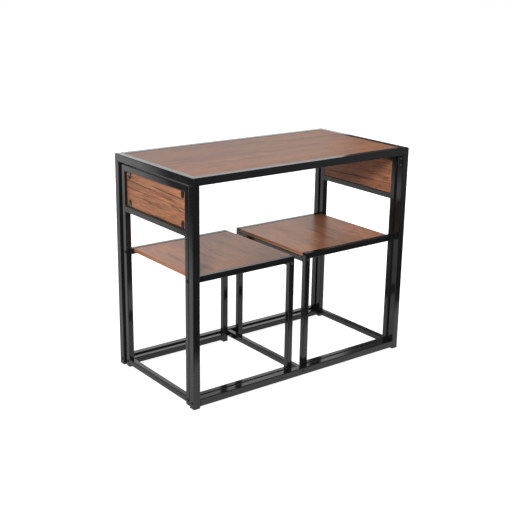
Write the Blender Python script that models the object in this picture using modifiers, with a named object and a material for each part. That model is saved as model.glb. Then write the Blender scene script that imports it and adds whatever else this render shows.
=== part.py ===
"""Kitchen table with two chairs that tuck in under its ends.

Black square steel tube carries wood boards. The table has a welded top frame with four
stubs, four legs sleeved over the stubs, two long lower rails and a cross stretcher. Each
chair has a welded back frame, two welded side frames and a front rail, joined by bolts.

Metres, +Z up, floor at zero. +X runs along the table, and the front is at -Y. A chair is
modelled in its own frame: its back at x = 0, its front towards +x, its middle at y = 0.
"""

import math

import bmesh
import bpy
from mathutils import Matrix, Vector

# Driving sizes of the table
TABLE_LENGTH = 0.902
TABLE_WIDTH = 0.467
TABLE_HEIGHT = 0.750
TABLE_TUBE = 0.025
TOP_BOARD_THICKNESS = 0.015
TABLE_RAIL_LIFT = 0.007
STRETCHER_TUBE = 0.020

# Driving sizes of the chairs, which fit inside the table
CHAIR_TUBE = 0.020
CHAIR_SIDE_CLEARANCE = 0.0095
CHAIR_TOP_CLEARANCE = 0.006
CHAIR_TUCK = 0.0055
CHAIR_FRONT_CLEARANCE = 0.0145
SEAT_HEIGHT = 0.4285
SEAT_BOARD_THICKNESS = 0.012
SEAT_REAR_GAP = 0.0085
PANEL_OPENING = 0.119
PANEL_THICKNESS = 0.012
CHAIR_RAIL_LIFT = 0.009

# Tube walls, corners and the plates that close the bolted tube ends
WALL = 0.0012
TUBE_CORNER = 0.002
END_PLATE = 0.006
BOARD_EDGE = 0.0006

# Gaps and clearances
GAP = 0.0003
MERGE = GAP / 10
BOARD_CLEARANCE = 0.0005
BOARD_DROP = 0.0005
SLEEVE_CLEARANCE = 0.0004
HOLE_CLEARANCE = 0.0003
PLUG_CLEARANCE = 0.0005
OVERRUN = 0.002

# Sleeve joint between a leg and the top frame
STUB_LENGTH = 0.050
STUB_CORNER = 0.0008
SCREW_DROP = 0.013
SCREW_PITCH = 0.0235

# Fasteners
BOLT_RADIUS = 0.003
BOLT_BITE = 0.010
BOLT_HEAD_RADIUS = 0.0058
BOLT_HEAD_HEIGHT = 0.0026
SOCKET_RADIUS = 0.0022
SOCKET_DEPTH = 0.0014
SCREW_RADIUS = 0.002
SCREW_TIP = 0.003
SCREW_HEAD_RADIUS = 0.004
SCREW_HEAD_HEIGHT = 0.0018
SCREW_SOCKET_RADIUS = 0.0014
SCREW_SOCKET_DEPTH = 0.0008
HEAD_SHOULDER_SHARE = 0.35
HEAD_CROWN_SHARE = 0.7

# Tabs that hold the boards
TAB_THICKNESS = 0.002
TAB_WIDTH = 0.014
TAB_LENGTH = 0.025
TAB_HOLE_RADIUS = 0.0022
TAB_SINK = 0.0006
PANEL_TAB_INSET = 0.021
TOP_TAB_SHARES = (-0.36, 0.0, 0.36)
SEAT_TAB_SHARES = (0.22, 0.78)

# Plastic feet
FOOT_THICKNESS = 0.004
FOOT_EDGE = 0.0012

# Angles: where an edge counts as sharp, and where two faces count as one
SHARP_ANGLE = math.radians(40)
FLAT_ANGLE = math.radians(1)

# Counts
ROUND_SIDES = 12
ARC_STEPS = 6
HOLE_SIDES = 12
HEX_SIDES = 6
CORNER_SEGMENTS = 2

# Places worked out from the sizes above
TRIM = TUBE_CORNER + OVERRUN
HALF_LENGTH = TABLE_LENGTH / 2
HALF_WIDTH = TABLE_WIDTH / 2
FRAME_BOTTOM = TABLE_HEIGHT - TABLE_TUBE
LEG_X = HALF_LENGTH - TABLE_TUBE / 2
LEG_Y = HALF_WIDTH - TABLE_TUBE / 2
LEG_BOTTOM = FOOT_THICKNESS + GAP
TABLE_BOLT_Z = TABLE_RAIL_LIFT + TABLE_TUBE / 2
TOP_BOARD_BOTTOM = TABLE_HEIGHT - BOARD_DROP - TOP_BOARD_THICKNESS

CHAIR_REAR = HALF_LENGTH - CHAIR_TUCK
CHAIR_DEPTH = CHAIR_REAR - STRETCHER_TUBE / 2 - CHAIR_FRONT_CLEARANCE
CHAIR_HALF = HALF_WIDTH - TABLE_TUBE - CHAIR_SIDE_CLEARANCE
CHAIR_INNER = CHAIR_HALF - CHAIR_TUBE
CHAIR_POST_Y = CHAIR_HALF - CHAIR_TUBE / 2
CHAIR_TOP = FRAME_BOTTOM - CHAIR_TOP_CLEARANCE
PANEL_TOP = CHAIR_TOP - CHAIR_TUBE
PANEL_BOTTOM = PANEL_TOP - PANEL_OPENING
BACK_RAIL_BOTTOM = PANEL_BOTTOM - CHAIR_TUBE
PANEL_RECESS = CHAIR_TUBE - PANEL_THICKNESS
CHAIR_RAIL_TOP = CHAIR_RAIL_LIFT + CHAIR_TUBE
LOWER_BOLT_Z = CHAIR_RAIL_LIFT + CHAIR_TUBE / 2
SEAT_BOLT_Z = SEAT_HEIGHT - CHAIR_TUBE / 2
SEAT_BOARD_BOTTOM = SEAT_HEIGHT - BOARD_DROP - SEAT_BOARD_THICKNESS
SEAT_BOARD_REAR = CHAIR_TUBE + SEAT_REAR_GAP
SIDE_FRAME_REAR = CHAIR_TUBE + GAP
FRONT_RAIL_TOP = SEAT_BOARD_BOTTOM - GAP
FRONT_BOLT_Z = FRONT_RAIL_TOP - CHAIR_TUBE / 2

# Finishes: base colour, roughness, metallic
STEEL = ((0.016, 0.016, 0.017), 0.25, 0.0)
WOOD = ((0.34, 0.15, 0.078), 0.4, 0.0)
PLASTIC = ((0.018, 0.018, 0.018), 0.6, 0.0)
BOLT_STEEL = ((0.03, 0.03, 0.032), 0.35, 0.6)

# Outline planes: where an outline's own x, y and normal point in the model
FLAT = Matrix(((1, 0, 0), (0, 1, 0), (0, 0, 1)))
ACROSS = Matrix(((0, 0, 1), (1, 0, 0), (0, 1, 0)))
ALONG = Matrix(((1, 0, 0), (0, 0, -1), (0, 1, 0)))

X_AXIS = Vector((1, 0, 0))
Y_AXIS = Vector((0, 1, 0))
DOWN = Vector((0, 0, -1))


def clear_scene():
    """Start from an empty scene."""
    for old in list(bpy.data.objects):
        bpy.data.objects.remove(old, do_unlink=True)


def add_object(name, data):
    """Put a new object in the scene."""
    item = bpy.data.objects.new(name, data)
    bpy.context.scene.collection.objects.link(item)
    return item


def bake(item):
    """Replace an object's data with the mesh that its modifiers make."""
    depsgraph = bpy.context.evaluated_depsgraph_get()
    mesh = bpy.data.meshes.new_from_object(item.evaluated_get(depsgraph))
    item.modifiers.clear()
    item.data = mesh


def combine(item, others, operation):
    """Join other shapes to an object or cut them from it, and use them up."""
    tools = bpy.data.collections.new("tools")
    for other in others:
        tools.objects.link(other)
    boolean = item.modifiers.new(operation.lower(), "BOOLEAN")
    boolean.operation = operation
    boolean.solver = "EXACT"
    boolean.operand_type = "COLLECTION"
    boolean.collection = tools
    bake(item)
    for other in others:
        bpy.data.objects.remove(other, do_unlink=True)
    bpy.data.collections.remove(tools)


def box(name, low, high):
    """A plain box between two corners."""
    size = [b - a for a, b in zip(low, high)]
    centre = [(a + b) / 2 for a, b in zip(low, high)]
    bm = bmesh.new()
    bmesh.ops.create_cube(bm, size=1.0)
    bmesh.ops.scale(bm, vec=size, verts=bm.verts)
    bmesh.ops.translate(bm, vec=centre, verts=bm.verts)
    mesh = bpy.data.meshes.new(name)
    bm.to_mesh(mesh)
    bm.free()
    return add_object(name, mesh)


def bar(name, low, high, along, radius):
    """A box whose long edges, those along one axis, are rounded."""
    item = box(name, low, high)
    bm = bmesh.new()
    bm.from_mesh(item.data)
    long_edges = []
    for edge in bm.edges:
        direction = (edge.verts[1].co - edge.verts[0].co).normalized()
        if abs(direction[along]) > 0.5:
            long_edges.append(edge)
    bmesh.ops.bevel(
        bm,
        geom=long_edges,
        offset=radius,
        offset_type="OFFSET",
        segments=CORNER_SEGMENTS,
        profile=0.5,
        affect="EDGES",
    )
    bm.to_mesh(item.data)
    bm.free()
    return item


def round_edges(item, width, segments):
    """Round or chamfer every sharp edge."""
    bevel = item.modifiers.new("edges", "BEVEL")
    bevel.width = width
    bevel.segments = segments
    bevel.limit_method = "ANGLE"
    bevel.angle_limit = SHARP_ANGLE
    bake(item)


def trim(item, place, direction):
    """Cut a solid off square at a plane and close the cut, tube by tube."""
    bm = bmesh.new()
    bm.from_mesh(item.data)
    cut = bmesh.ops.bisect_plane(
        bm,
        geom=list(bm.verts) + list(bm.edges) + list(bm.faces),
        plane_co=place,
        plane_no=direction,
        clear_outer=True,
    )
    rim = [part for part in cut["geom_cut"] if isinstance(part, bmesh.types.BMEdge)]
    bmesh.ops.edgeloop_fill(bm, edges=rim)
    bmesh.ops.recalc_face_normals(bm, faces=bm.faces)
    bm.to_mesh(item.data)
    bm.free()


def outline(name, loops, thickness, plane, centre):
    """A flat outline with holes, thick along its normal, as a welded mesh."""
    curve = bpy.data.curves.new(name, "CURVE")
    curve.dimensions = "2D"
    curve.fill_mode = "BOTH"
    curve.extrude = thickness / 2
    for loop in loops:
        spline = curve.splines.new("POLY")
        spline.points.add(len(loop) - 1)
        for point, place in zip(spline.points, loop):
            point.co = (place[0], place[1], 0, 1)
        spline.use_cyclic_u = True
    item = add_object(name, curve)
    depsgraph = bpy.context.evaluated_depsgraph_get()
    mesh = bpy.data.meshes.new_from_object(item.evaluated_get(depsgraph))
    bpy.data.objects.remove(item, do_unlink=True)
    bm = bmesh.new()
    bm.from_mesh(mesh)
    bmesh.ops.remove_doubles(bm, verts=bm.verts, dist=MERGE)
    bmesh.ops.dissolve_limit(bm, angle_limit=FLAT_ANGLE, verts=bm.verts, edges=bm.edges)
    bmesh.ops.transform(bm, matrix=Matrix.Translation(centre) @ plane.to_4x4(), verts=bm.verts)
    bmesh.ops.recalc_face_normals(bm, faces=bm.faces)
    bm.to_mesh(mesh)
    bm.free()
    return add_object(name, mesh)


def rectangle(x_low, x_high, y_low, y_high):
    """The corners of a rectangle."""
    return [(x_low, y_low), (x_high, y_low), (x_high, y_high), (x_low, y_high)]


def arc(centre, radius, start, sweep, steps):
    """Points along an arc."""
    points = []
    for step in range(steps + 1):
        angle = start + sweep * step / steps
        points.append((centre[0] + radius * math.cos(angle), centre[1] + radius * math.sin(angle)))
    return points


def rod(name, start, direction, radius, length, sides):
    """A cylinder from a start point, for holes."""
    bm = bmesh.new()
    bmesh.ops.create_cone(
        bm, cap_ends=True, segments=sides, radius1=radius, radius2=radius, depth=length
    )
    turn = Vector((0, 0, 1)).rotation_difference(direction).to_matrix().to_4x4()
    centre = Vector(start) + direction * length / 2
    bmesh.ops.transform(bm, matrix=Matrix.Translation(centre) @ turn, verts=bm.verts)
    mesh = bpy.data.meshes.new(name)
    bm.to_mesh(mesh)
    bm.free()
    return add_object(name, mesh)


def hole(start, direction, radius, depth):
    """A cutter for a round hole that begins outside the face it enters."""
    start = Vector(start) - direction * OVERRUN
    return rod("hole", start, direction, radius, depth + 2 * OVERRUN, HOLE_SIDES)


def turned(name, profile):
    """A closed turned shape from a profile of (radius, height), top to bottom."""
    mesh = bpy.data.meshes.new(name)
    verts = [(radius, 0, height) for radius, height in profile]
    edges = [(index, index + 1) for index in range(len(verts) - 1)]
    mesh.from_pydata(verts, edges, [])
    item = add_object(name, mesh)
    screw = item.modifiers.new("turn", "SCREW")
    screw.axis = "Z"
    screw.angle = math.tau
    screw.steps = ROUND_SIDES
    screw.render_steps = ROUND_SIDES
    screw.use_merge_vertices = True
    screw.merge_threshold = MERGE
    bake(item)
    return item


def fastener(name, seat, direction, radius, length, head_radius, head_height, socket):
    """A button-head bolt or screw: its head stands on the seat, its shank goes in."""
    shoulder = head_height * HEAD_SHOULDER_SHARE
    crown = head_radius * HEAD_CROWN_SHARE
    profile = [
        (0, head_height),
        (crown, head_height),
        (head_radius, shoulder),
        (head_radius, 0),
        (radius, 0),
        (radius, -length + radius / 2),
        (radius / 2, -length),
        (0, -length),
    ]
    item = turned(name, profile)
    socket_radius, socket_depth = socket
    top = (0, 0, head_height + socket_depth)
    combine(item, [rod("socket", top, DOWN, socket_radius, 2 * socket_depth, HEX_SIDES)], "DIFFERENCE")
    item.data.shade_smooth()
    item.data.set_sharp_from_angle(angle=SHARP_ANGLE)
    turn = DOWN.rotation_difference(direction)
    item.data.transform(turn.to_matrix().to_4x4())
    item.location = Vector(seat) - direction * GAP
    return item


def bolt(name, seat, direction, tube):
    """A bolt through one tube into the plated end of the next."""
    length = GAP + tube + GAP + BOLT_BITE
    socket = (SOCKET_RADIUS, SOCKET_DEPTH)
    head_radius, head_height = BOLT_HEAD_RADIUS, BOLT_HEAD_HEIGHT
    return fastener(name, seat, direction, BOLT_RADIUS, length, head_radius, head_height, socket)


def bolt_hole(start, direction, depth):
    """A hole that clears a bolt."""
    return hole(start, direction, BOLT_RADIUS + HOLE_CLEARANCE, depth)


def tab(name, root, reach, plane, centre_line, hole_radius):
    """A flat tab with a round end and a hole, grown from its root along its outline's y."""
    half = TAB_WIDTH / 2
    end = (centre_line[0], centre_line[1] + reach * (TAB_LENGTH - half))
    sweep = math.pi * reach
    edge = arc(end, half, 0, sweep, ARC_STEPS)
    foot = centre_line[1] - reach * TAB_SINK
    edge += [(centre_line[0] - half, foot), (centre_line[0] + half, foot)]
    ring = arc(end, hole_radius, 0, math.tau, HOLE_SIDES)[:-1]
    return outline(name, [edge, ring], TAB_THICKNESS, plane, root)


def tube_end_cut(low, high, along):
    """The inside of a tube with a plate across each end."""
    inset = [WALL, WALL, WALL]
    inset[along] = END_PLATE
    return box("bore", [a + i for a, i in zip(low, inset)], [b - i for b, i in zip(high, inset)])


def plated_tube(name, low, high, along, bolt_z):
    """A straight tube whose plated ends each take a bolt."""
    item = bar(name, low, high, along, TUBE_CORNER)
    cuts = [tube_end_cut(low, high, along)]
    centre = [(a + b) / 2 for a, b in zip(low, high)]
    centre[2] = bolt_z
    for end, direction in ((low, 1), (high, -1)):
        start = list(centre)
        start[along] = end[along]
        axis = Vector((0, 0, 0))
        axis[along] = direction
        cuts.append(bolt_hole(start, axis, END_PLATE))
    combine(item, cuts, "DIFFERENCE")
    return item


def foot_cap(name, x, y, tube, bolt_z):
    """A plastic foot: a square flange and a plug that reaches up to just below the bolt."""
    half = tube / 2
    flange = box(name, (x - half, y - half, 0), (x + half, y + half, FOOT_THICKNESS))
    round_edges(flange, FOOT_EDGE, 1)
    plug_half = half - WALL - PLUG_CLEARANCE
    plug_top = bolt_z - BOLT_RADIUS - PLUG_CLEARANCE
    plug_low = (x - plug_half, y - plug_half, FOOT_THICKNESS / 2)
    plug = box("plug", plug_low, (x + plug_half, y + plug_half, plug_top))
    combine(flange, [plug], "UNION")
    return flange


def finish(item, look, parent, parts):
    """Give a piece its material, its parent and its place among the parts."""
    colour, roughness, metallic = look
    material = bpy.data.materials.new(item.name + "_finish")
    material.use_nodes = True
    shader = material.node_tree.nodes["Principled BSDF"]
    shader.inputs["Base Color"].default_value = (*colour, 1)
    shader.inputs["Roughness"].default_value = roughness
    shader.inputs["Metallic"].default_value = metallic
    material.diffuse_color = (*colour, 1)
    item.data.materials.clear()
    item.data.materials.append(material)
    item.parent = parent
    for group in list(item.users_collection):
        group.objects.unlink(item)
    parts.objects.link(item)


def frame_ring(inset):
    """The top frame's two loops, drawn in by an inset all round the tube."""
    outer_x, outer_y = HALF_LENGTH - inset, HALF_WIDTH - inset
    inner_x, inner_y = HALF_LENGTH - TABLE_TUBE + inset, HALF_WIDTH - TABLE_TUBE + inset
    return [
        rectangle(-outer_x, outer_x, -outer_y, outer_y),
        rectangle(-inner_x, inner_x, -inner_y, inner_y),
    ]


def leg_screw_holes(side_x, side_y):
    """Cutters for the two screws that hold a leg to its stub."""
    start_x = side_x * (HALF_LENGTH - TABLE_TUBE)
    depth = 2 * WALL + SLEEVE_CLEARANCE
    cuts = []
    for row in range(2):
        z = FRAME_BOTTOM - SCREW_DROP - row * SCREW_PITCH
        radius = SCREW_RADIUS + HOLE_CLEARANCE
        cuts.append(hole((start_x, side_y * LEG_Y, z), X_AXIS * side_x, radius, depth))
    return cuts


def top_frame():
    """The welded top frame: four tubes, a stub at each corner and tabs under the board."""
    centre = (0, 0, TABLE_HEIGHT - TABLE_TUBE / 2)
    item = outline("table_top_frame", frame_ring(0), TABLE_TUBE, FLAT, centre)
    round_edges(item, TUBE_CORNER, CORNER_SEGMENTS)
    stub_half = TABLE_TUBE / 2 - WALL - SLEEVE_CLEARANCE
    joined = []
    cuts = [outline("inside", frame_ring(WALL), TABLE_TUBE - 2 * WALL, FLAT, centre)]
    for side_x in (-1, 1):
        for side_y in (-1, 1):
            x, y = side_x * LEG_X, side_y * LEG_Y
            low = (x - stub_half, y - stub_half, FRAME_BOTTOM - STUB_LENGTH)
            high = (x + stub_half, y + stub_half, FRAME_BOTTOM + WALL / 2)
            joined.append(bar("stub", low, high, 2, STUB_CORNER))
            bore = stub_half - WALL
            bore_low = (x - bore, y - bore, low[2] - OVERRUN)
            bore_high = (x + bore, y + bore, FRAME_BOTTOM + WALL + OVERRUN)
            cuts.append(box("stub_bore", bore_low, bore_high))
            cuts += leg_screw_holes(side_x, side_y)
    tab_z = TOP_BOARD_BOTTOM - GAP - TAB_THICKNESS / 2
    inner = HALF_WIDTH - TABLE_TUBE
    for share in TOP_TAB_SHARES:
        for side_y in (-1, 1):
            line = (share * TABLE_LENGTH, side_y * inner)
            joined.append(tab("tab", (0, 0, tab_z), -side_y, FLAT, line, TAB_HOLE_RADIUS))
    combine(item, joined, "UNION")
    combine(item, cuts, "DIFFERENCE")
    return item


def leg(name, side_x, side_y):
    """A table leg: an open tube over the stub, drilled for its screws and rail bolt."""
    half = TABLE_TUBE / 2
    x, y = side_x * LEG_X, side_y * LEG_Y
    top = FRAME_BOTTOM - GAP
    item = bar(name, (x - half, y - half, LEG_BOTTOM), (x + half, y + half, top), 2, TUBE_CORNER)
    bore = half - WALL
    cuts = [box("bore", (x - bore, y - bore, LEG_BOTTOM - OVERRUN), (x + bore, y + bore, top + OVERRUN))]
    cuts += leg_screw_holes(side_x, side_y)
    outer = side_x * HALF_LENGTH
    cuts.append(bolt_hole((outer, y, TABLE_BOLT_Z), X_AXIS * -side_x, TABLE_TUBE))
    combine(item, cuts, "DIFFERENCE")
    return item


def lower_rail(name, side_y):
    """A long lower rail between two legs, drilled through for the stretcher's bolt."""
    reach = HALF_LENGTH - TABLE_TUBE - GAP
    y_faces = sorted((side_y * HALF_WIDTH, side_y * (HALF_WIDTH - TABLE_TUBE)))
    low = (-reach, y_faces[0], TABLE_RAIL_LIFT)
    high = (reach, y_faces[1], TABLE_RAIL_LIFT + TABLE_TUBE)
    item = plated_tube(name, low, high, 0, TABLE_BOLT_Z)
    middle = (0, side_y * HALF_WIDTH, TABLE_BOLT_Z)
    combine(item, [bolt_hole(middle, Y_AXIS * -side_y, TABLE_TUBE)], "DIFFERENCE")
    return item


def stretcher():
    """The cross tube between the lower rails, under the gap between the chairs."""
    half = STRETCHER_TUBE / 2
    reach = HALF_WIDTH - TABLE_TUBE - GAP
    low = (-half, -reach, TABLE_BOLT_Z - half)
    high = (half, reach, TABLE_BOLT_Z + half)
    return plated_tube("table_stretcher", low, high, 1, TABLE_BOLT_Z)


def board(name, low, high):
    """A faced wood board with slightly eased edges."""
    item = box(name, low, high)
    round_edges(item, BOARD_EDGE, 1)
    return item


def table_top():
    """The board that lies inside the top frame."""
    x = HALF_LENGTH - TABLE_TUBE - BOARD_CLEARANCE
    y = HALF_WIDTH - TABLE_TUBE - BOARD_CLEARANCE
    top = TABLE_HEIGHT - BOARD_DROP
    return board("table_top_board", (-x, -y, TOP_BOARD_BOTTOM), (x, y, top))


def leg_screw(name, side_x, side_y, row):
    """A screw through a leg's inner wall into the stub inside it."""
    z = FRAME_BOTTOM - SCREW_DROP - row * SCREW_PITCH
    seat = (side_x * (HALF_LENGTH - TABLE_TUBE), side_y * LEG_Y, z)
    length = GAP + 2 * WALL + SLEEVE_CLEARANCE + SCREW_TIP
    socket = (SCREW_SOCKET_RADIUS, SCREW_SOCKET_DEPTH)
    direction = X_AXIS * side_x
    head_radius, head_height = SCREW_HEAD_RADIUS, SCREW_HEAD_HEIGHT
    return fastener(name, seat, direction, SCREW_RADIUS, length, head_radius, head_height, socket)


def build_table(parent, parts):
    """All the table's pieces."""
    finish(top_frame(), STEEL, parent, parts)
    finish(table_top(), WOOD, parent, parts)
    finish(stretcher(), STEEL, parent, parts)
    for end_y, side_y in (("front", -1), ("back", 1)):
        finish(lower_rail("table_lower_rail_" + end_y, side_y), STEEL, parent, parts)
        seat = (0, side_y * HALF_WIDTH, TABLE_BOLT_Z)
        middle = bolt("table_stretcher_bolt_" + end_y, seat, Y_AXIS * -side_y, TABLE_TUBE)
        finish(middle, BOLT_STEEL, parent, parts)
        for end_x, side_x in (("left", -1), ("right", 1)):
            corner = end_y + "_" + end_x
            x, y = side_x * LEG_X, side_y * LEG_Y
            finish(leg("table_leg_" + corner, side_x, side_y), STEEL, parent, parts)
            foot = foot_cap("table_foot_" + corner, x, y, TABLE_TUBE, TABLE_BOLT_Z)
            finish(foot, PLASTIC, parent, parts)
            seat = (side_x * HALF_LENGTH, y, TABLE_BOLT_Z)
            rail_bolt = bolt("table_rail_bolt_" + corner, seat, X_AXIS * -side_x, TABLE_TUBE)
            finish(rail_bolt, BOLT_STEEL, parent, parts)
            for row, level in enumerate(("upper", "lower")):
                name = "table_leg_screw_" + corner + "_" + level
                finish(leg_screw(name, side_x, side_y, row), BOLT_STEEL, parent, parts)


def ladder(inset, foot):
    """The back frame's loops: two posts and three rails, drawn in by an inset."""
    outer = CHAIR_HALF - inset
    inner = CHAIR_INNER + inset
    base = CHAIR_RAIL_LIFT + inset
    edge = [
        (-outer, foot),
        (-outer, CHAIR_TOP - inset),
        (outer, CHAIR_TOP - inset),
        (outer, foot),
        (inner, foot),
        (inner, base),
        (-inner, base),
        (-inner, foot),
    ]
    panel_gap = rectangle(-inner, inner, PANEL_BOTTOM - inset, PANEL_TOP + inset)
    main_gap = rectangle(-inner, inner, CHAIR_RAIL_TOP - inset, BACK_RAIL_BOTTOM + inset)
    return [edge, panel_gap, main_gap]


def back_frame(name):
    """The welded back frame: posts, three rails and the tabs that hold the panel."""
    centre = (CHAIR_TUBE / 2, 0, 0)
    item = outline(name, ladder(0, LEG_BOTTOM - TRIM), CHAIR_TUBE, ACROSS, centre)
    round_edges(item, TUBE_CORNER, CORNER_SEGMENTS)
    trim(item, (0, 0, LEG_BOTTOM), DOWN)
    joined = []
    tab_x = PANEL_RECESS - GAP - TAB_THICKNESS / 2
    for side_y in (-1, 1):
        y = side_y * (CHAIR_INNER - PANEL_TAB_INSET)
        for z, reach in ((PANEL_TOP, -1), (PANEL_BOTTOM, 1)):
            joined.append(tab("tab", (tab_x, 0, 0), reach, ACROSS, (y, z), TAB_HOLE_RADIUS))
    combine(item, joined, "UNION")
    inside = ladder(WALL, LEG_BOTTOM - OVERRUN)
    cuts = [outline("inside", inside, CHAIR_TUBE - 2 * WALL, ACROSS, centre)]
    for side_y in (-1, 1):
        for z in (LOWER_BOLT_Z, SEAT_BOLT_Z):
            cuts.append(bolt_hole((0, side_y * CHAIR_POST_Y, z), X_AXIS, CHAIR_TUBE))
    combine(item, cuts, "DIFFERENCE")
    return item


def bracket(inset, rear, foot):
    """A side frame's outline: seat rail, front leg and lower rail, drawn in by an inset."""
    front = CHAIR_DEPTH - inset
    leg_rear = CHAIR_DEPTH - CHAIR_TUBE + inset
    seat_top = SEAT_HEIGHT - inset
    seat_low = SEAT_HEIGHT - CHAIR_TUBE + inset
    rail_top = CHAIR_RAIL_TOP - inset
    rail_low = CHAIR_RAIL_LIFT + inset
    return [
        (rear, seat_top),
        (front, seat_top),
        (front, foot),
        (leg_rear, foot),
        (leg_rear, rail_low),
        (rear, rail_low),
        (rear, rail_top),
        (leg_rear, rail_top),
        (leg_rear, seat_low),
        (rear, seat_low),
    ]


def side_frame(name, side_y):
    """A welded side frame: seat rail, front leg and lower rail, with tabs for the seat."""
    centre = (0, side_y * CHAIR_POST_Y, 0)
    edge = bracket(0, SIDE_FRAME_REAR - TRIM, LEG_BOTTOM - TRIM)
    item = outline(name, [edge], CHAIR_TUBE, ALONG, centre)
    round_edges(item, TUBE_CORNER, CORNER_SEGMENTS)
    trim(item, (0, 0, LEG_BOTTOM), DOWN)
    trim(item, (SIDE_FRAME_REAR, 0, 0), -X_AXIS)
    joined = []
    tab_z = SEAT_BOARD_BOTTOM - GAP - TAB_THICKNESS / 2
    for share in SEAT_TAB_SHARES:
        line = (share * CHAIR_DEPTH, side_y * CHAIR_INNER)
        joined.append(tab("tab", (0, 0, tab_z), -side_y, FLAT, line, TAB_HOLE_RADIUS))
    combine(item, joined, "UNION")
    inside = bracket(WALL, SIDE_FRAME_REAR + END_PLATE, LEG_BOTTOM - OVERRUN)
    cuts = [outline("inside", [inside], CHAIR_TUBE - 2 * WALL, ALONG, centre)]
    for z in (LOWER_BOLT_Z, SEAT_BOLT_Z):
        cuts.append(bolt_hole((SIDE_FRAME_REAR, side_y * CHAIR_POST_Y, z), X_AXIS, END_PLATE))
    across = (CHAIR_DEPTH - CHAIR_TUBE / 2, side_y * CHAIR_HALF, FRONT_BOLT_Z)
    cuts.append(bolt_hole(across, Y_AXIS * -side_y, CHAIR_TUBE))
    combine(item, cuts, "DIFFERENCE")
    return item


def front_rail(name):
    """The rail under the seat's front edge, bolted between the front legs."""
    reach = CHAIR_INNER - GAP
    low = (CHAIR_DEPTH - CHAIR_TUBE, -reach, FRONT_RAIL_TOP - CHAIR_TUBE)
    high = (CHAIR_DEPTH, reach, FRONT_RAIL_TOP)
    return plated_tube(name, low, high, 1, FRONT_BOLT_Z)


def back_panel(name):
    """The backrest board, flush with the back frame's front face."""
    y = CHAIR_INNER - BOARD_CLEARANCE
    low = (PANEL_RECESS, -y, PANEL_BOTTOM + BOARD_CLEARANCE)
    return board(name, low, (CHAIR_TUBE, y, PANEL_TOP - BOARD_CLEARANCE))


def seat_board(name):
    """The seat board between the side frames, resting on the front rail."""
    y = CHAIR_INNER - BOARD_CLEARANCE
    low = (SEAT_BOARD_REAR, -y, SEAT_BOARD_BOTTOM)
    return board(name, low, (CHAIR_DEPTH, y, SEAT_HEIGHT - BOARD_DROP))


def build_chair(chair, parent, parts):
    """All the pieces of one chair."""
    finish(back_frame(chair + "_back_frame"), STEEL, parent, parts)
    finish(back_panel(chair + "_backrest_panel"), WOOD, parent, parts)
    finish(seat_board(chair + "_seat_board"), WOOD, parent, parts)
    finish(front_rail(chair + "_seat_front_rail"), STEEL, parent, parts)
    for hand, side_y in (("left", 1), ("right", -1)):
        finish(side_frame(chair + "_side_frame_" + hand, side_y), STEEL, parent, parts)
        y = side_y * CHAIR_POST_Y
        for end, x in (("rear", CHAIR_TUBE / 2), ("front", CHAIR_DEPTH - CHAIR_TUBE / 2)):
            name = chair + "_foot_" + end + "_" + hand
            finish(foot_cap(name, x, y, CHAIR_TUBE, LOWER_BOLT_Z), PLASTIC, parent, parts)
        for level, z in (("seat", SEAT_BOLT_Z), ("lower", LOWER_BOLT_Z)):
            name = chair + "_" + level + "_bolt_" + hand
            finish(bolt(name, (0, y, z), X_AXIS, CHAIR_TUBE), BOLT_STEEL, parent, parts)
        seat = (CHAIR_DEPTH - CHAIR_TUBE / 2, side_y * CHAIR_HALF, FRONT_BOLT_Z)
        name = chair + "_front_bolt_" + hand
        finish(bolt(name, seat, Y_AXIS * -side_y, CHAIR_TUBE), BOLT_STEEL, parent, parts)


def mover(name, location, turn):
    """An empty that carries one body; a chair's lies on the line it slides along."""
    empty = add_object(name, None)
    empty.location = location
    empty.rotation_euler = (0, 0, turn)
    return empty


def main():
    clear_scene()
    parts = bpy.data.collections.new("kitchen_table_and_chairs")
    bpy.context.scene.collection.children.link(parts)
    build_table(mover("table_origin", (0, 0, 0), 0), parts)
    build_chair("chair_a", mover("chair_a_slide", (-CHAIR_REAR, 0, 0), 0), parts)
    build_chair("chair_b", mover("chair_b_slide", (CHAIR_REAR, 0, 0), math.pi), parts)


main()
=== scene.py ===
"""Looks of the kitchen table and its two chairs: finishes, small hardware, studio and camera.

Metres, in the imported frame: +X along the table, the front at -Y, +Z up, the floor at zero.
A chair's own frame has its back at x = 0 and its front towards +x.
"""

import math

import bmesh
import bpy
from mathutils import Matrix, Vector

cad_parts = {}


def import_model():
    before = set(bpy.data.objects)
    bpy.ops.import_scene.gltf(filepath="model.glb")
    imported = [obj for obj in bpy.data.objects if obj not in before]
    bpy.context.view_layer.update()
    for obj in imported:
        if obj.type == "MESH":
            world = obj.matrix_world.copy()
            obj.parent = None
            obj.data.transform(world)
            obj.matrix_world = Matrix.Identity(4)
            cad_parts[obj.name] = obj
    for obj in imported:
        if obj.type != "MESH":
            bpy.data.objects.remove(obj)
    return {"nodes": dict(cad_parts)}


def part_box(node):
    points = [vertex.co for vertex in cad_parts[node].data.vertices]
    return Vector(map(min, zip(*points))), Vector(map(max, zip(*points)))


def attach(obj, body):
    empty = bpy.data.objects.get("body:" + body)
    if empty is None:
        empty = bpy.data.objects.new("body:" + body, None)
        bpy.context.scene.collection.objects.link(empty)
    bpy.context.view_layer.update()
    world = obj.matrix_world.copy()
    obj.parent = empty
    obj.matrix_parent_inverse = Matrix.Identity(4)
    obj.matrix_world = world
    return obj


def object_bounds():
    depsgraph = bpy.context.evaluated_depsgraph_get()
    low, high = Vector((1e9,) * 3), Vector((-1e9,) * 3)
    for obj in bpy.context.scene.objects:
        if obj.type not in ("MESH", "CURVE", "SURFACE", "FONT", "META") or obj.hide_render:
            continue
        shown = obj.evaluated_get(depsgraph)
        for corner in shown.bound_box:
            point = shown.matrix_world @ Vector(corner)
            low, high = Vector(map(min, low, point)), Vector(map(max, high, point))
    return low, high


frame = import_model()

CAD_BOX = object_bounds()
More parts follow.
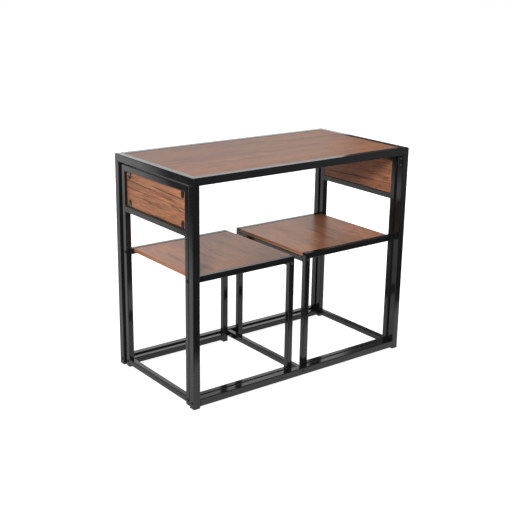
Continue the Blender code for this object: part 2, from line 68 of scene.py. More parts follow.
CHAIRS = ("chair_a", "chair_b")
X, Y, Z = 0, 1, 2

# Camera, solved from the photograph's own frame, with its angles in radians
PHOTO_SIDE = 515
FOCAL_PIXELS = 966.697
SENSOR_MILLIMETRES = 36
CAMERA_PLACE = Vector((-1.98820, -2.55598, 1.37755))
CAMERA_AZIMUTH = 0.65431
CAMERA_ELEVATION = 0.30215
CAMERA_ROLL = 0.01557
CAMERA_NEAREST = 0.05
CAMERA_FARTHEST = 100

# White sweep behind the object: glossy surfaces see it, the camera sees plain white.
# Its left edge runs slanted over the floor, through these two (x, y) places,
# and its top edge falls to the right, through these two (x, z) places on the wall.
SWEEP_LEFT_NEAR = (-1.46, 1.33)
SWEEP_LEFT_FAR = (-2.74, 4.00)
SWEEP_RIGHT = 4.05
SWEEP_FRONT = -0.57
SWEEP_TOP_LEFT = (2.40, 2.34)
SWEEP_TOP_RIGHT = (4.05, 1.95)
SWEEP_SOFTNESS = 0.06

# The wall that carries the back of the sweep, and the sweep's (z, glow) at two heights on it
WALL_RIGHT = 4.40
WALL_TOP = 3.2
WALL_GLOW_LOW = (1.60, 1.25)
WALL_GLOW_HIGH = (1.95, 1.08)

# A lit strip along the sweep's top edge: its span in z, its right end, and its (x, glow) at two places
STRIP_SPAN = (2.30, 2.70)
STRIP_RIGHT = 4.17
STRIP_GLOW_LEFT = (2.45, 0.60)
STRIP_GLOW_RIGHT = (2.95, 1.15)

# The sweep's glow on the floor: close to the table, farther out, and far behind it. Close to the
# table the glow is dimmed as a painted shadow of the model, and it grows over its reach beyond the
# model's box; the far glow grows over a span in y.
FLOOR_GLOW_IN_PAINTED_SHADE = 0.68
FLOOR_GLOW = 0.92
FLOOR_GLOW_FAR = 1.45
PAINTED_SHADE_REACH_LEFT = 0.25
PAINTED_SHADE_REACH_RIGHT = 1.00
PAINTED_SHADE_REACH_BEHIND = 1.20
FAR_SPAN = (2.2, 3.2)

# The rest of the room in gloss: dark on the left, dimly lit on the right
ROOM_DARK = 0.02
ROOM_LIT = 0.10
ROOM_SPAN = (-0.2, 0.6)
FLOOR_LIT = 0.30
FLOOR_LIT_SPAN = (1.2, 2.9)

# Floor and lamps: the camera sees the floor as a shade and a white glow, and bounced light meets
# the floor's tone
FLOOR_SIDE = 12.0
FLOOR_DROP = 0.0004
FLOOR_SHADE = 0.45
FLOOR_WHITE = 0.87
FLOOR_TONE = 0.55
WORLD_FILL = 0.32
KEY_PLACE = Vector((-2.7, -2.6, 2.35))
KEY_SIDE = 0.9
KEY_POWER = 146
FILL_PLACE = Vector((2.6, 2.4, 2.6))
FILL_SIDE = 2.0
FILL_POWER = 150
LOOK_AT = Vector((0, 0, 0.4))

# Screws that hold the boards to their tabs: the head's profile is (share of the radius, share of
# the height) from the seat up, and the turns are in radians
SCREW_RADIUS = 0.0040
SCREW_HEIGHT = 0.0021
SCREW_SIDES = 24
SCREW_SINK = 0.0002
SCREW_PROFILE_SHARES = ((1.0, 0.45), (0.93, 0.72), (0.76, 0.92), (0.50, 1.0))
RECESS_ARM = 0.0023
RECESS_WIDTH = 0.0008
RECESS_DEPTH = 0.0011
FIRST_TURN = 0.35
TURN_STEP = 0.8

# The tabs, as the model has them
TAB_THICKNESS = 0.002
TAB_WIDTH = 0.014
TAB_REACH = 0.018
TAB_GAP = 0.0003
PANEL_TAB_INSET = 0.021
SEAT_TAB_SHARES = (0.22, 0.78)
TOP_TAB_SHARES = (-0.36, 0.0, 0.36)
BOARD_CLEARANCE = 0.0005

# Weld beads in the inner corners of the welded frames and at the roots of the tabs
BEAD_RADIUS = 0.0021
TAB_BEAD_RADIUS = 0.0011
BEAD_SET = 0.0006
BEAD_END = 0.0012
BEAD_PITCH = 0.0022
BEAD_RIPPLE_SHARE = 0.10
BEAD_TIP_SHARE = 0.15
BEAD_SIDES = 10
BEAD_STEP = 0.00055
BEAD_FEWEST_STEPS = 4
SHARP_ANGLE = math.radians(38)

# A noise's middle, and the span that most of its values lie in
NOISE_MIDDLE = 0.5
NOISE_SPAN = (0.3, 0.7)

# What the finishes share, and the places of the Mix node's colour sockets
COAT_IOR = 1.5
BEVEL_SAMPLES = 6
MIX_FACTOR, MIX_FIRST, MIX_SECOND, MIX_RESULT = 0, 6, 7, 2

# Paint, fasteners and plastic, with linear tones from darkest to lightest. A noise is its rate, in
# features to the metre, and its detail; relief is its strength and height; a lighter edge, which on
# the paint is a painted highlight, is its reach in from an edge and the span of the edge mask; an
# edge is its radius.
PAINT_TONES = ((0.0086, 0.0086, 0.0091), (0.0114, 0.0114, 0.0122))
PAINT_EDGE_HIGHLIGHT = (0.028, 0.028, 0.030)
PAINT_ROUGHNESS = (0.08, 0.12)
PAINT_CLOUD = (14, 3)
PAINT_GRIT = (900, 2)
PAINT_GRIT_GREYS = ((0.35, 0.8), (0.65, 1.2))
PAINT_PEEL = (320, 2)
PAINT_RELIEF = (0.26, 0.00004)
PAINT_HIGHLIGHT_REACH = (0.0012, 0.02, 0.3)
PAINT_EDGE = 0.0013

FASTENER_TONES = ((0.020, 0.020, 0.021), (0.034, 0.034, 0.036))
FASTENER_EDGE_TONE = (0.10, 0.10, 0.105)
FASTENER_ROUGHNESS = (0.30, 0.42)
FASTENER_METALLIC = 0.3
FASTENER_CLOUD = (260, 3)
FASTENER_EDGE_REACH = (0.0005, 0.05, 0.4)
FASTENER_EDGE = 0.0004

PLASTIC_TONES = ((0.012, 0.012, 0.012), (0.022, 0.022, 0.022))
PLASTIC_ROUGHNESS = 0.48
PLASTIC_IOR = 1.46
PLASTIC_CLOUD = (60, 2)
PLASTIC_GRAIN = (1400, 2)
PLASTIC_RELIEF = (0.5, 0.00005)
PLASTIC_EDGE = 0.0006

# Wood tones, linear
WOOD_LIGHT = (0.455, 0.184, 0.085)
WOOD_MID = (0.400, 0.160, 0.075)
WOOD_DARK = (0.320, 0.128, 0.062)
# The next colour is for smudges, dashes, clouds and the dark edge line, and for seat A's painted shadow
WOOD_SMUDGE_AND_SHADE = (0.120, 0.056, 0.038)
WOOD_LINE = (0.050, 0.025, 0.018)
GRAIN_LINE = (0.020, 0.011, 0.009)
EDGE_BAND = (0.400, 0.158, 0.074)
FIGURE_STOPS = ((0.32, WOOD_DARK), (0.50, WOOD_MID), (0.68, WOOD_LIGHT))

# Noises in the wood: rates along the grain, across it and through the board, detail, roughness
WOOD_NOISES = {
    "figure": ((1.6, 20.0, 6.0), 3, 0.55),
    "veins": ((1.0, 60.0, 6.0), 2, 0.50),
    "stain": ((5.0, 24.0, 6.0), 3, 0.60),
    "fibres": ((22.0, 560.0, 60.0), 3, 0.65),
    "streaks": ((9.0, 190.0, 30.0), 2, 0.55),
    "dashes": ((26.0, 270.0, 60.0), 1, 0.50),
    "pores": ((55.0, 1000.0, 200.0), 1, 0.50),
}
DRIFT_NOISE = ((1.6, 7.0, 2.0), 2, 0.50)
DRIFT_PUSH = 0.014
WOBBLE_NOISE = ((22.0, 30.0, 5.0), 2, 0.50)
LINE_WANDER = 0.004

# Each board's seed, and how far a seed of one moves the noises along x, y and z
WOOD_SEEDS = {
    "wood_top": 1.0,
    "wood_seat_a": 2.3,
    "wood_seat_b": 3.3,
    "wood_panel_a": 5.1,
    "wood_panel_b": 6.1,
}
SEED_SHIFTS = (3.1, 1.7, 2.3)

# How the noises darken the wood: greys as (noise, grey) stops, and spans as two values of a noise
# with what each stands for, where that isn't zero and one
STREAK_GREYS = ((0.34, 0.76), (0.62, 1.12))
FIBRE_GREYS = ((0.36, 0.66), (0.62, 1.16))
BAND_GREYS = ((0.34, 0.84), (0.62, 1.08))
SMUDGE_STAIN = (0.55, 0.74)
SMUDGE_FIBRES = (0.32, 0.62, 0.50, 0.15)
VEIN_RIDGE = (0.004, 0.016, 0.6, 0.0)
VEIN_STAIN = (0.46, 0.58)
PORE_SPAN = (0.64, 0.73, 0.0, 0.6)
DASH_SPAN = (0.62, 0.76, 0.0, 0.6)

# Relief of the wood, the radius of its edges, and how far a pore goes down in the relief
WOOD_RELIEF = (0.25, 0.00004)
WOOD_EDGE = 0.0006
PORE_RELIEF = -0.8

# The banded edges: the span of the normal's part through the board, and of the distance from the
# dark line's middle as a share of its half width
BAND_SPAN = (0.55, 0.80, 1.0, 0.0)
EDGE_LINE_SPAN = (0.6, 1.2, 0.75, 0.0)

# Edges of the grain lines, as shares of their half width and length, and ragged edges of the clouds
LINE_CORE_SHARE = 0.4
LINE_EDGE_SHARE = 1.4
LINE_FADE_SHARE = 0.12
CLOUD_RAGGED = 2.4
CLOUD_EDGE = (0.2, 1.2)

# Dark grain lines: (along, across) at both ends, half width, strength
PANEL_A_LINES = (
    ((0.178, 0.6700), (0.013, 0.6640), 0.0015, 1.00),
    ((0.013, 0.6640), (-0.100, 0.6615), 0.0011, 0.65),
    ((0.020, 0.6775), (-0.150, 0.6700), 0.0016, 1.00),
    ((0.178, 0.6465), (0.088, 0.6435), 0.0014, 1.00),
    ((0.088, 0.6435), (-0.092, 0.6425), 0.0011, 0.70),
    ((-0.085, 0.6425), (-0.152, 0.6300), 0.0013, 0.90),
    ((-0.087, 0.6025), (-0.142, 0.6000), 0.0014, 0.60),
)
PANEL_B_LINES = (
    ((-0.169, 0.6325), (-0.139, 0.6260), 0.0016, 0.90),
    ((-0.100, 0.6335), (-0.070, 0.6325), 0.0014, 0.70),
    ((-0.074, 0.6125), (0.178, 0.6025), 0.0015, 0.90),
)

# Soft dark clouds, and on seat A one painted shadow: centre (along, across), half length, half width,
# strength
TOP_CLOUDS = (
    (-0.335, 0.022, 0.080, 0.010, 0.50),
    (-0.115, 0.040, 0.075, 0.009, 0.50),
    (-0.090, -0.005, 0.095, 0.010, 0.45),
    (-0.100, -0.078, 0.085, 0.012, 0.55),
    (0.195, 0.000, 0.080, 0.011, 0.55),
    (0.230, -0.030, 0.060, 0.008, 0.40),
    (0.055, 0.133, 0.110, 0.012, 0.65),
    (-0.170, 0.155, 0.100, 0.010, 0.45),
    (-0.295, -0.122, 0.075, 0.010, 0.50),
)
SEAT_A_CLOUDS_AND_SHADOW = (
    # The first is painted shade: the shadow of the table's front left leg on the seat
    (-0.131, -0.332, 0.045, 0.018, 0.80),
    (0.014, -0.357, 0.060, 0.012, 0.60),
    (0.134, -0.072, 0.050, 0.016, 0.70),
    (0.060, -0.130, 0.060, 0.014, 0.50),
    (-0.120, -0.100, 0.040, 0.010, 0.45),
)
SEAT_B_CLOUDS = (
    (0.004, 0.2375, 0.055, 0.012, 0.60),
    (-0.076, 0.2225, 0.045, 0.010, 0.55),
    (-0.076, 0.3375, 0.050, 0.012, 0.55),
    (0.090, 0.1500, 0.060, 0.014, 0.50),
)

# A dark line on chair B's front edge: its height, two places along, its half width at each
SEAT_B_EDGE_LINE = (0.4232, -0.17, 0.17, 0.0012, 0.0032)

# Gradients over a board's colour, once or twice over: axis, two places on it, the tone at each.
# On the top and the seats they are painted shade: the top darker towards the back and lighter
# towards its right end, seat A darker towards its front, seat B darker towards the table's back.
# The panels only grow a little lighter towards the top.
TOP_PAINTED_SHADE = ((Y, -0.18, 0.18, 0.92, 0.64), (X, 0.08, 0.38, 0.88, 1.04))
SEAT_A_PAINTED_SHADE = ((X, -0.34, -0.08, 1.00, 0.65),)
SEAT_B_PAINTED_SHADE = ((Y, -0.12, 0.10, 1.10, 0.66),)
PANEL_TONES = ((Z, 0.58, 0.70, 1.06, 1.10),)

# A board's finish: its lowest and highest roughness, its specular level and how strong its smudges are
TOP_FINISH = (0.32, 0.40, 0.26, 1.00)
SEAT_FINISH = (0.29, 0.37, 0.40, 1.00)
PANEL_FINISH = (0.31, 0.39, 0.24, 0.45)

# A board's axes: the grain's, the one across it and the thickness's
TOP_AXES = (X, Y, Z)
SEAT_AXES = (Y, X, Z)
PANEL_AXES = (Y, Z, X)


def shader_graph(name):
    """A new material with an empty node tree and its output node."""
    material = bpy.data.materials.new(name)
    material.use_nodes = True
    tree = material.node_tree
    tree.nodes.clear()
    return material, tree, tree.nodes.new("ShaderNodeOutputMaterial")


def node(tree, kind, values=None, links=None, **settings):
    """Add a node, set its properties and unlinked inputs, and link its other inputs."""
    made = tree.nodes.new("ShaderNode" + kind)
    for key, value in settings.items():
        setattr(made, key, value)
    for key, value in (values or {}).items():
        made.inputs[key].default_value = value
    for key, socket in (links or {}).items():
        tree.links.new(socket, made.inputs[key])
    return made


def surface(tree, out, values, links):
    """A Principled shader on the material's output."""
    shader = node(tree, "BsdfPrincipled", values, links)
    tree.links.new(shader.outputs[0], out.inputs[0])


def sums(tree, operation, *values):
    """A Math node on sockets or plain numbers; gives its output socket."""
    made = node(tree, "Math", operation=operation)
    for index, value in enumerate(values):
        if isinstance(value, bpy.types.NodeSocket):
            tree.links.new(value, made.inputs[index])
        else:
            made.inputs[index].default_value = value
    return made.outputs[0]


def product(tree, first, *others):
    """Sockets or plain numbers multiplied together."""
    for other in others:
        first = sums(tree, "MULTIPLY", first, other)
    return first


def largest(tree, first, *others):
    """The largest of some sockets or plain numbers."""
    for other in others:
        first = sums(tree, "MAXIMUM", first, other)
    return first


def distance(tree, value, place):
    """How far a value is from a place."""
    return sums(tree, "ABSOLUTE", sums(tree, "SUBTRACT", value, place))


def slanted(tree, along, first, second):
    """The height, at each place along, of the straight line through two (along, height) places."""
    (start, low), (end, high) = first, second
    slope = (high - low) / (end - start)
    return sums(tree, "MULTIPLY_ADD", along, slope, low - slope * start)


def spread(tree, value, low, high, to_low=0.0, to_high=1.0):
    """A Map Range node, clamped; gives its output socket."""
    values = {"From Min": low, "From Max": high, "To Min": to_low, "To Max": to_high}
    return node(tree, "MapRange", values, {"Value": value}).outputs[0]


def past(tree, value, edge, softness):
    """Zero before an edge and one past it, turning over a softness on either side."""
    return spread(tree, value, edge - softness, edge + softness)


def before(tree, value, edge, softness):
    """One before an edge and zero past it, turning over a softness on either side."""
    return spread(tree, value, edge - softness, edge + softness, 1.0, 0.0)


def ramp(tree, factor, stops):
    """A colour ramp; stops are (place, colour) pairs. Gives its colour socket."""
    made = node(tree, "ValToRGB", None, {0: factor})
    elements = made.color_ramp.elements
    while len(elements) < len(stops):
        elements.new(NOISE_MIDDLE)
    for element, (place, colour) in zip(elements, stops):
        element.position = place
        element.color = (*colour, 1)
    return made.outputs[0]


def mix(tree, factor, first, second, blend="MIX"):
    """A Mix node on colours; gives its result socket."""
    made = node(tree, "Mix", data_type="RGBA", blend_type=blend)
    for key, value in ((MIX_FACTOR, factor), (MIX_FIRST, first), (MIX_SECOND, second)):
        if isinstance(value, bpy.types.NodeSocket):
            tree.links.new(value, made.inputs[key])
        else:
            made.inputs[key].default_value = value if key == MIX_FACTOR else (*value, 1)
    return made.outputs[MIX_RESULT]


def shaded(tree, colour, factor, greys):
    """A colour made lighter or darker by a ramp of (place, grey) stops."""
    stops = [(place, (tone, tone, tone)) for place, tone in greys]
    return mix(tree, 1.0, colour, ramp(tree, factor, stops), "MULTIPLY")


def mottled(tree, cloud, tones):
    """A colour that moves between two tones with a noise."""
    return ramp(tree, cloud, list(zip(NOISE_SPAN, tones)))


def alike(tree, value):
    """A vector or colour whose three parts are one value."""
    return node(tree, "CombineXYZ", None, {0: value, 1: value, 2: value}).outputs[0]


def split(tree, vector):
    """The three parts of a vector."""
    return node(tree, "SeparateXYZ", None, {0: vector}).outputs


def noise(tree, vector, rates, detail, roughness=0.5, shift=(0, 0, 0)):
    """Noise with its own rate, in features to the metre, along each axis."""
    mapped = node(tree, "Mapping", {"Scale": rates, "Location": shift}, {"Vector": vector})
    values = {"Scale": 1.0, "Detail": detail, "Roughness": roughness}
    return node(tree, "TexNoise", values, {"Vector": mapped.outputs[0]}).outputs[0]


def even_noise(tree, vector, rate, detail):
    """Noise with the same rate along every axis."""
    return noise(tree, vector, (rate, rate, rate), detail)


def round_edge(tree, radius):
    """A normal that rounds the sharp edges."""
    return node(tree, "Bevel", {"Radius": radius}, samples=BEVEL_SAMPLES).outputs[0]


def edge_mask(tree, radius, low, high):
    """One near sharp edges and zero on flat faces, from how far a bevel would turn the normal."""
    plain = node(tree, "NewGeometry").outputs["True Normal"]
    links = {0: round_edge(tree, radius), 1: plain}
    dot = node(tree, "VectorMath", None, links, operation="DOT_PRODUCT")
    return spread(tree, sums(tree, "SUBTRACT", 1.0, dot.outputs["Value"]), low, high)


def bumped(tree, height, relief, radius):
    """A normal with fine relief over rounded edges."""
    strength, depth = relief
    links = {"Height": height, "Normal": round_edge(tree, radius)}
    return node(tree, "Bump", {"Strength": strength, "Distance": depth}, links).outputs[0]


def paint_material():
    """Satin black powder coat: orange peel, uneven gloss, and a painted highlight along its edges."""
    material, tree, out = shader_graph("frame_paint")
    place = node(tree, "TexCoord").outputs["Object"]
    cloud = even_noise(tree, place, *PAINT_CLOUD)
    colour = mottled(tree, cloud, PAINT_TONES)
    colour = shaded(tree, colour, even_noise(tree, place, *PAINT_GRIT), PAINT_GRIT_GREYS)
    # Painted highlight: the paint's edges are lightened, patchily with the cloud
    edge_highlight = product(tree, edge_mask(tree, *PAINT_HIGHLIGHT_REACH), cloud)
    colour = mix(tree, edge_highlight, colour, PAINT_EDGE_HIGHLIGHT)
    gloss = spread(tree, cloud, *NOISE_SPAN, *PAINT_ROUGHNESS)
    normal = bumped(tree, even_noise(tree, place, *PAINT_PEEL), PAINT_RELIEF, PAINT_EDGE)
    links = {"Base Color": colour, "Roughness": gloss, "Normal": normal}
    surface(tree, out, {"IOR": COAT_IOR}, links)
    return material


def fastener_material():
    """Black oxide on steel: a little metallic, mottled, and brighter on its edges."""
    material, tree, out = shader_graph("fastener_black")
    place = node(tree, "TexCoord").outputs["Object"]
    cloud = even_noise(tree, place, *FASTENER_CLOUD)
    colour = mottled(tree, cloud, FASTENER_TONES)
    colour = mix(tree, edge_mask(tree, *FASTENER_EDGE_REACH), colour, FASTENER_EDGE_TONE)
    gloss = spread(tree, cloud, *NOISE_SPAN, *FASTENER_ROUGHNESS)
    links = {"Base Color": colour, "Roughness": gloss, "Normal": round_edge(tree, FASTENER_EDGE)}
    surface(tree, out, {"Metallic": FASTENER_METALLIC, "IOR": COAT_IOR}, links)
    return material


def plastic_material():
    """Moulded black plastic with a fine texture."""
    material, tree, out = shader_graph("foot_plastic")
    place = node(tree, "TexCoord").outputs["Object"]
    colour = mottled(tree, even_noise(tree, place, *PLASTIC_CLOUD), PLASTIC_TONES)
    normal = bumped(tree, even_noise(tree, place, *PLASTIC_GRAIN), PLASTIC_RELIEF, PLASTIC_EDGE)
    links = {"Base Color": colour, "Normal": normal}
    surface(tree, out, {"Roughness": PLASTIC_ROUGHNESS, "IOR": PLASTIC_IOR}, links)
    return material


def on_axes(axes, values):
    """Values along the grain, across it and through the board, put in x, y, z order."""
    ordered = [0.0, 0.0, 0.0]
    for axis, value in zip(axes, values):
        ordered[axis] = value
    return ordered


def wood_noises(tree, place, axes, seed):
    """The noises of one board by name, all pushed across the grain by a slow drift."""
    shift = [seed * move for move in SEED_SHIFTS]
    rates, detail, roughness = DRIFT_NOISE
    drift = noise(tree, place, on_axes(axes, rates), detail, roughness, shift)
    push = on_axes(axes, (0.0, DRIFT_PUSH, 0.0))
    links = {0: alike(tree, drift), 2: place}
    moved = node(tree, "VectorMath", {1: push}, links, operation="MULTIPLY_ADD").outputs[0]
    noises = {}
    for name, (rates, detail, roughness) in WOOD_NOISES.items():
        noises[name] = noise(tree, moved, on_axes(axes, rates), detail, roughness, shift)
    return noises


def face_colour(tree, noises, pores, smudges):
    """The colour of a board's face: figure, streaks, fibres, smudges, veins, pores and dashes."""
    stain, fibres = noises["stain"], noises["fibres"]
    colour = ramp(tree, noises["figure"], FIGURE_STOPS)
    colour = shaded(tree, colour, noises["streaks"], STREAK_GREYS)
    colour = shaded(tree, colour, fibres, FIBRE_GREYS)
    smudge = product(tree, spread(tree, stain, *SMUDGE_STAIN), spread(tree, fibres, *SMUDGE_FIBRES))
    colour = mix(tree, product(tree, smudge, smudges), colour, WOOD_SMUDGE_AND_SHADE)
    ridge = distance(tree, noises["veins"], NOISE_MIDDLE)
    vein = product(tree, spread(tree, ridge, *VEIN_RIDGE), spread(tree, stain, *VEIN_STAIN))
    colour = mix(tree, vein, colour, WOOD_LINE)
    colour = mix(tree, pores, colour, WOOD_LINE)
    return mix(tree, spread(tree, noises["dashes"], *DASH_SPAN), colour, WOOD_SMUDGE_AND_SHADE)


def band_colour(tree, streaks, along, height, edge_line):
    """The colour of a board's banded edges, with a dark line along them where it has one."""
    colour = shaded(tree, EDGE_BAND, streaks, BAND_GREYS)
    if edge_line:
        middle, from_along, to_along, thin, thick = edge_line
        half = spread(tree, along, from_along, to_along, thin, thick)
        inside = sums(tree, "DIVIDE", distance(tree, height, middle), half)
        colour = mix(tree, spread(tree, inside, *EDGE_LINE_SPAN), colour, WOOD_SMUDGE_AND_SHADE)
    return colour


def grain_line(tree, along, across, wander, line):
    """A long thin dark line in the wood; gives a mask that is its strength on the line."""
    first, second, half_width, strength = line
    middle = sums(tree, "ADD", slanted(tree, along, first, second), wander)
    gap = distance(tree, across, middle)
    edges = (half_width * LINE_CORE_SHARE, half_width * LINE_EDGE_SHARE)
    core = spread(tree, gap, *edges, strength, 0.0)
    low, high = sorted((first[0], second[0]))
    fade = (high - low) * LINE_FADE_SHARE
    ends = product(tree, past(tree, along, low, fade), before(tree, along, high, fade))
    return product(tree, core, ends)


def cloud_and_shade_mask(tree, along, across, broken, cloud):
    """A soft dark cloud in the wood, ragged along its fibres, also used for a painted shadow; gives a
    mask.
    """
    centre_along, centre_across, half_length, half_width, strength = cloud
    u = sums(tree, "DIVIDE", sums(tree, "SUBTRACT", along, centre_along), half_length)
    v = sums(tree, "DIVIDE", sums(tree, "SUBTRACT", across, centre_across), half_width)
    away = sums(tree, "ADD", product(tree, u, u), product(tree, v, v))
    ragged = sums(tree, "SUBTRACT", broken, NOISE_MIDDLE)
    away = sums(tree, "MULTIPLY_ADD", ragged, CLOUD_RAGGED, away)
    return spread(tree, away, *CLOUD_EDGE, strength, 0.0)


def wood_material(name, axes, tones, finish, lines=(), clouds_and_shade=(), edge_line=None):
    """Reddish brown faced wood with banded edges."""
    material, tree, out = shader_graph(name)
    coordinates = node(tree, "TexCoord").outputs
    place = coordinates["Object"]
    smoothest, roughest, specular, smudges = finish
    noises = wood_noises(tree, place, axes, WOOD_SEEDS[name])
    streaks = noises["streaks"]
    pores = spread(tree, noises["pores"], *PORE_SPAN)
    colour = face_colour(tree, noises, pores, smudges)

    parts = split(tree, place)
    along, across, height = (parts[axis] for axis in axes)
    # Dark clouds, and on seat A a painted shadow of a table leg
    for cloud in clouds_and_shade:
        colour = mix(tree, cloud_and_shade_mask(tree, along, across, streaks, cloud), colour, WOOD_SMUDGE_AND_SHADE)
    rates, detail, roughness = WOBBLE_NOISE
    wobble = noise(tree, place, on_axes(axes, rates), detail, roughness)
    wander = product(tree, sums(tree, "SUBTRACT", wobble, NOISE_MIDDLE), LINE_WANDER)
    for line in lines:
        colour = mix(tree, grain_line(tree, along, across, wander, line), colour, GRAIN_LINE)

    through = split(tree, coordinates["Normal"])[axes[-1]]
    band = spread(tree, sums(tree, "ABSOLUTE", through), *BAND_SPAN)
    colour = mix(tree, band, colour, band_colour(tree, streaks, along, height, edge_line))
    # Gradients over the colour: painted shade on the top and the seats, a small rise of tone on the panels
    for tone_axis, *span in tones:
        tone = spread(tree, parts[tone_axis], *span)
        colour = mix(tree, 1.0, colour, alike(tree, tone), "MULTIPLY")

    relief = sums(tree, "MULTIPLY_ADD", pores, PORE_RELIEF, noises["fibres"])
    normal = bumped(tree, relief, WOOD_RELIEF, WOOD_EDGE)
    gloss = spread(tree, streaks, *NOISE_SPAN, smoothest, roughest)
    links = {"Base Color": colour, "Roughness": gloss, "Normal": normal}
    surface(tree, out, {"IOR": COAT_IOR, "Specular IOR Level": specular}, links)
    return material


def dress(finish, words):
    """Give every CAD node whose name holds one of the words its material."""
    for name, item in frame["nodes"].items():
        if any(word in name for word in words):
            item.data.materials.clear()
            item.data.materials.append(finish)


def dress_boards():
    """Give each board a wood of its own, because each board's grain differs."""
    top = wood_material("wood_top", TOP_AXES, TOP_PAINTED_SHADE, TOP_FINISH, clouds_and_shade=TOP_CLOUDS)
    seat_a = wood_material(
        "wood_seat_a", SEAT_AXES, SEAT_A_PAINTED_SHADE, SEAT_FINISH, clouds_and_shade=SEAT_A_CLOUDS_AND_SHADOW
    )
    seat_b = wood_material(
        "wood_seat_b",
        SEAT_AXES,
        SEAT_B_PAINTED_SHADE,
        SEAT_FINISH,
        clouds_and_shade=SEAT_B_CLOUDS,
        edge_line=SEAT_B_EDGE_LINE,
    )
    panel_a = wood_material("wood_panel_a", PANEL_AXES, PANEL_TONES, PANEL_FINISH, PANEL_A_LINES)
    panel_b = wood_material("wood_panel_b", PANEL_AXES, PANEL_TONES, PANEL_FINISH, PANEL_B_LINES)
    dress(top, ("table_top_board",))
    dress(seat_a, ("chair_a_seat_board",))
    dress(seat_b, ("chair_b_seat_board",))
    dress(panel_a, ("chair_a_backrest_panel",))
    dress(panel_b, ("chair_b_backrest_panel",))


def put(name, data):
    """A new object in the scene."""
    item = bpy.data.objects.new(name, data)
    bpy.context.scene.collection.objects.link(item)
    return item


def mesh_from(name, bm):
    """A new mesh from a bmesh, which is freed."""
    mesh = bpy.data.meshes.new(name)
    bm.to_mesh(mesh)
    bm.free()
    return mesh


def add_piece(name, bm, material, body):
    """Turn a bmesh into a smooth-shaded piece that rides on a body."""
    mesh = mesh_from(name, bm)
    mesh.shade_smooth()
    mesh.set_sharp_from_angle(angle=SHARP_ANGLE)
    mesh.materials.append(material)
    item = put(name, mesh)
    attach(item, body)


def ring(bm, centre, side, other, radius, sides):
    """A ring of vertices about a centre."""
    made = []
    for index in range(sides):
        angle = math.tau * index / sides
        made.append(bm.verts.new(centre + (side * math.cos(angle) + other * math.sin(angle)) * radius))
    return made


def skin(bm, rings):
    """Faces between rings that follow one another, closed at both ends."""
    sides = len(rings[0])
    for lower, upper in zip(rings, rings[1:]):
        for index in range(sides):
            after = (index + 1) % sides
            bm.faces.new((lower[index], lower[after], upper[after], upper[index]))
    bm.faces.new(list(reversed(rings[0])))
    bm.faces.new(rings[-1])


def recess_arm(turn):
    """A flat bar through the top of a screw head, turned about z: one arm of its cross recess."""
    bm = bmesh.new()
    bmesh.ops.create_cube(bm, size=1.0)
    bmesh.ops.scale(bm, vec=(2 * RECESS_ARM, RECESS_WIDTH, 2 * RECESS_DEPTH), verts=bm.verts)
    bmesh.ops.translate(bm, vec=(0, 0, SCREW_HEIGHT), verts=bm.verts)
    bmesh.ops.rotate(bm, matrix=Matrix.Rotation(turn, 3, "Z"), verts=bm.verts)
    return put("recess", mesh_from("recess", bm))


def screw_head():
    """One pan head with a cross recess, its seat at z = 0 and its head up +Z."""
    side, other, up = Vector((1, 0, 0)), Vector((0, 1, 0)), Vector((0, 0, 1))
    bm = bmesh.new()
    rings = [ring(bm, up * -SCREW_SINK, side, other, SCREW_RADIUS, SCREW_SIDES)]
    for radius_share, height_share in SCREW_PROFILE_SHARES:
        centre = up * SCREW_HEIGHT * height_share
        rings.append(ring(bm, centre, side, other, SCREW_RADIUS * radius_share, SCREW_SIDES))
    skin(bm, rings)
    item = put("screw_head", mesh_from("screw_head", bm))
    for turn in (0, math.pi / 2):
        cutter = recess_arm(turn)
        cut = item.modifiers.new("recess", "BOOLEAN")
        cut.object = cutter
        cut.operation = "DIFFERENCE"
        depsgraph = bpy.context.evaluated_depsgraph_get()
        mesh = bpy.data.meshes.new_from_object(item.evaluated_get(depsgraph))
        item.modifiers.clear()
        item.data = mesh
        bpy.data.objects.remove(cutter, do_unlink=True)
    bpy.data.objects.remove(item, do_unlink=True)
    return mesh


def add_screws(name, head, seats, outward, to_world, material, body):
    """One piece of screw heads on seats that all face one way, each turned its own way."""
    bm = bmesh.new()
    swing = Vector((0, 0, 1)).rotation_difference(outward).to_matrix().to_4x4()
    for index, seat in enumerate(seats):
        start = len(bm.verts)
        bm.from_mesh(head)
        bm.verts.ensure_lookup_table()
        turn = Matrix.Rotation(FIRST_TURN + TURN_STEP * index, 4, "Z")
        matrix = to_world @ Matrix.Translation(seat) @ swing @ turn
        bmesh.ops.transform(bm, matrix=matrix, verts=bm.verts[start:])
    add_piece(name, bm, material, body)


def bead(bm, start, end, radius):
    """A rippled weld bead from one point to another, with rounded ends."""
    start, end = Vector(start), Vector(end)
    length = (end - start).length
    direction = (end - start).normalized()
    side = direction.orthogonal().normalized()
    other = direction.cross(side)
    steps = max(BEAD_FEWEST_STEPS, round(length / BEAD_STEP))
    rings = []
    for step in range(steps + 1):
        along = length * step / steps
        from_end = min(1.0, min(along, length - along) / radius)
        taper = max(BEAD_TIP_SHARE, math.sqrt(1 - (1 - from_end) ** 2))
        ripple = 1 + BEAD_RIPPLE_SHARE * math.cos(math.tau * along / BEAD_PITCH)
        rings.append(ring(bm, start + direction * along, side, other, radius * taper * ripple, BEAD_SIDES))
    skin(bm, rings)


def tab_bead(bm, x, y, z, direction):
    """A thin bead across a tab's root, centred on a place and running along +x or +y."""
    reach = direction * (TAB_WIDTH / 2 - BEAD_END)
    middle = Vector((x, y, z))
    bead(bm, middle - reach, middle + reach, TAB_BEAD_RADIUS)


